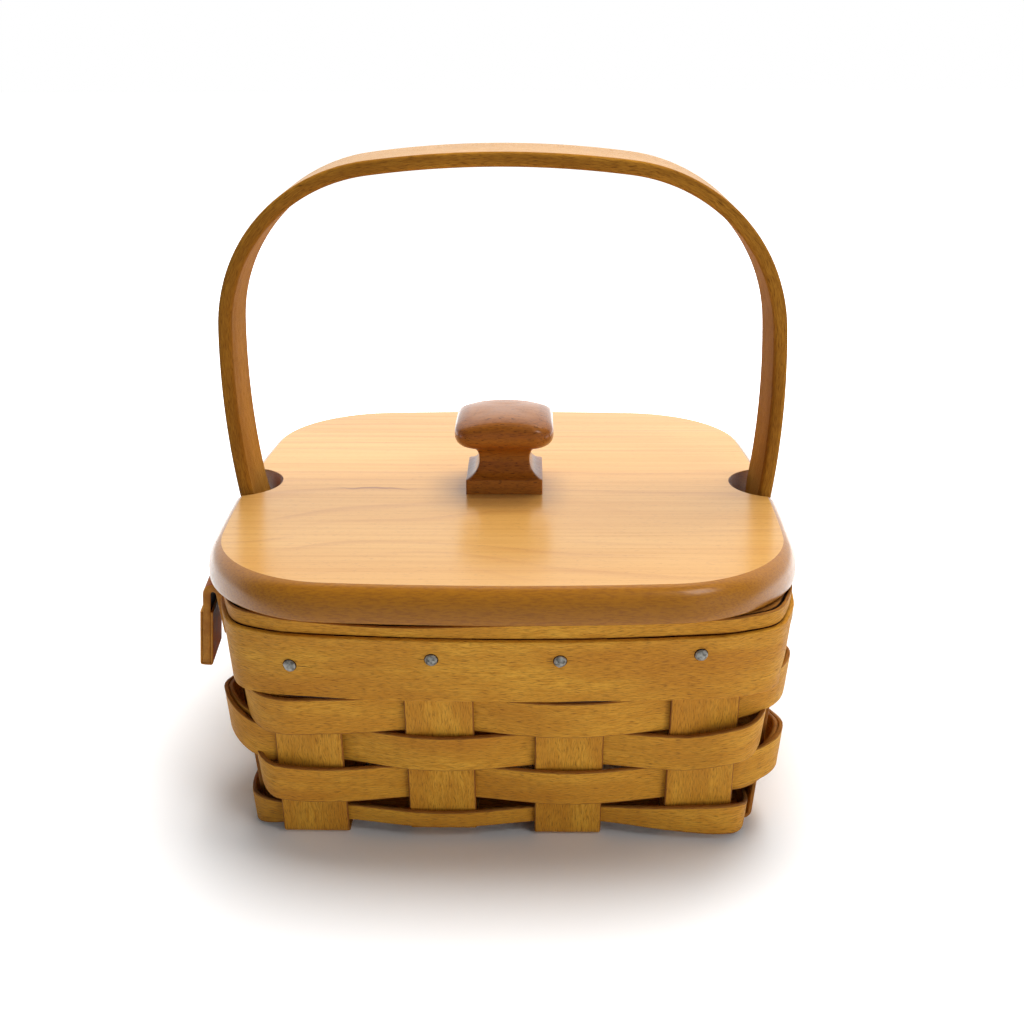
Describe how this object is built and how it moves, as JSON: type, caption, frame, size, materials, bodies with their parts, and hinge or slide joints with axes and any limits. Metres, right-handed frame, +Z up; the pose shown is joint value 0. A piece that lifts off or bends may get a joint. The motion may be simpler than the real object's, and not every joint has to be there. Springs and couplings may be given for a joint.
{
  "type": "lidded basket",
  "caption": "Square woven wooden splint basket with a bent stationary handle, a lift-off board lid with a knob, tacked rim bands and a leather tab on one side.",
  "frame": {"origin": "middle of the underside of the base, on the surface the basket stands on", "axes": "+Z up, -Y towards the front wall that faces the camera, +X to the right; the leather tab is on the left (-X) wall"},
  "size_m": [0.1765, 0.1702, 0.1848],
  "materials": {
    "splint": "satin stained splint",
    "handle_wood": "satin varnish",
    "lid_wood": "satin varnish",
    "knob_wood": "satin varnish",
    "tack_steel": "dull",
    "leather": "smooth, raw edges"
  },
  "bodies": {
    "basket": {"stake_front_back_1": "splint", "stake_front_back_2": "splint", "stake_front_back_3": "splint", "stake_front_back_4": "splint", "stake_left_right_1": "splint", "stake_left_right_2": "splint", "stake_left_right_3": "splint", "stake_left_right_4": "splint", "weaver_a": "splint", "weaver_b": "splint", "weaver_c": "splint", "weaver_d": "splint", "outer_band": "splint", "inner_band": "splint", "rim_tacks": "tack_steel", "handle": "handle_wood", "handle_tacks": "tack_steel", "leather_strap": "leather", "strap_tacks": "tack_steel"},
    "lid": {"lid_board": "lid_wood", "lid_knob": "knob_wood", "knob_screw": "tack_steel"},
    "leather_tab": {"leather_flap": "leather", "leather_sleeve": "leather"}
  },
  "joints": [
    {"name": "lid_lift", "type": "slide", "parent": "basket", "child": "lid", "axis": [0, 0, 1], "range_m": [0, 0.058]},
    {"name": "tab_bend", "type": "hinge", "parent": "basket", "child": "leather_tab", "pos_m": [-0.08814, -0.03927, 0.06472], "axis": [-0.0959, 0.9954, -0.0027], "range_deg": [0, 80]}
  ]
}
